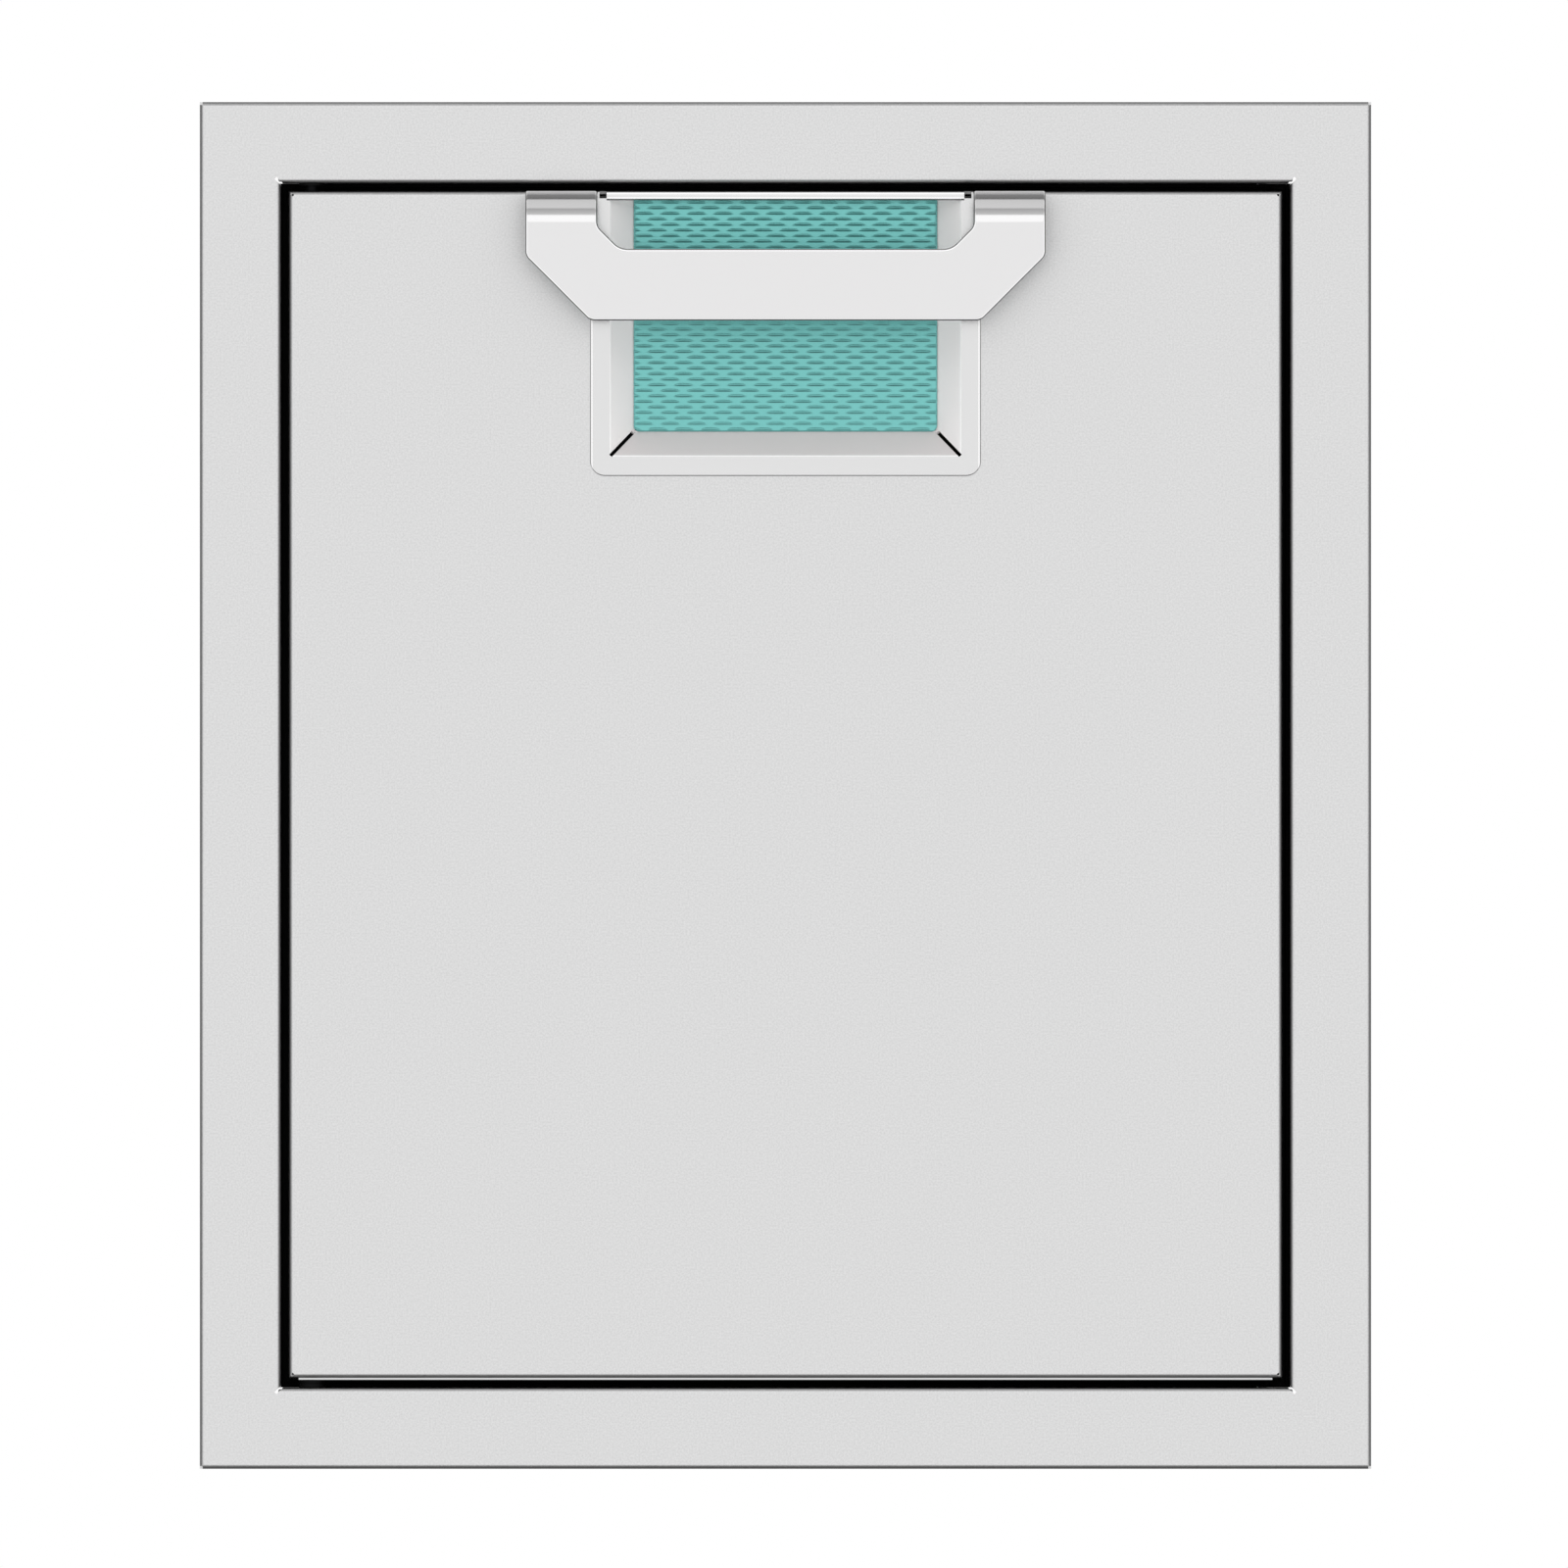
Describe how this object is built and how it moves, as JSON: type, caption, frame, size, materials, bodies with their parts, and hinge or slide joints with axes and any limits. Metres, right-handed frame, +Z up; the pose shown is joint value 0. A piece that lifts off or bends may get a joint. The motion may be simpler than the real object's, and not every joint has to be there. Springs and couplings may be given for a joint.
{
  "type": "access door",
  "caption": "Flush stainless access door for an outdoor kitchen island: trim frame with sleeve, hinged panel, bent plate handle over a recessed pull tray with a turquoise insert.",
  "frame": {"origin": "centre of the rim at the back of the trim frame, in the plane of the island's wall", "axes": "+X to the right seen from in front, +Y into the island, +Z up; the door's face looks along -Y"},
  "size_m": [0.5174, 0.108, 0.6038],
  "materials": {
    "trim_steel": "satin brushed stainless steel with a very fine grain",
    "door_steel": "satin brushed stainless steel with a very fine grain",
    "handle_steel": "finely satin finished stainless steel plate",
    "tray_steel": "satin brushed stainless steel sheet",
    "insert_turquoise": "turquoise coloured embossed sheet with rows of shallow lens-shaped dimples",
    "sleeve_steel": "mill finish stainless steel sheet",
    "seal_rubber": "matte black rubber",
    "inner_zinc": "plain zinc plated steel",
    "screw_steel": "plain stainless steel",
    "bush_nylon": "black nylon",
    "hinge_black": "steel with a black oxide finish",
    "catch_black": "black moulded plastic",
    "magnet_dark": "dark sintered magnet",
    "spring_steel": "bright spring wire"
  },
  "bodies": {
    "frame": {"face_frame": "trim_steel", "left_jamb": "sleeve_steel", "right_jamb": "sleeve_steel", "head_rail": "sleeve_steel", "sill_rail": "sleeve_steel", "hinge_side_stop": "sleeve_steel", "latch_side_stop": "sleeve_steel", "top_stop": "sleeve_steel", "bottom_stop": "sleeve_steel", "hinge_seal": "seal_rubber", "latch_seal": "seal_rubber", "top_seal": "seal_rubber", "bottom_seal": "seal_rubber", "upper_pin_plate": "hinge_black", "lower_pin_plate": "hinge_black", "upper_frame_bush": "bush_nylon", "lower_hinge_pin": "hinge_black", "lower_thrust_washer": "bush_nylon", "catch_housings": "catch_black", "catch_magnets": "magnet_dark", "catch_pole_plates": "inner_zinc", "catch_brackets": "inner_zinc", "catch_screws": "screw_steel"},
    "door": {"door_skin": "door_steel", "door_liner": "door_steel", "liner_screws": "screw_steel", "left_channel": "inner_zinc", "right_channel": "inner_zinc", "pull_tray": "tray_steel", "pull_insert": "insert_turquoise", "handle": "handle_steel", "handle_backplates": "inner_zinc", "handle_screws": "screw_steel", "lower_pivot_block": "inner_zinc", "lower_pivot_bush": "bush_nylon", "upper_pivot_block": "inner_zinc", "spring_seat": "inner_zinc", "strike_plates": "inner_zinc", "strike_rivets": "screw_steel", "pin_spring": "spring_steel"},
    "hinge_pin": {"upper_hinge_pin": "hinge_black", "pin_lever": "inner_zinc", "pin_clip": "spring_steel"}
  },
  "joints": [
    {"name": "door_swing", "type": "hinge", "parent": "frame", "child": "door", "pos_m": [-0.20935, -0.0035, 0], "axis": [0, 0, -1], "range_deg": [0, 120]},
    {"name": "pin_slide", "type": "slide", "parent": "door", "child": "hinge_pin", "axis": [0, 0, -1], "range_m": [0, 0.01], "stiffness_N_per_m": 400, "springref_m": -0.01, "deforming": ["pin_spring"]}
  ]
}
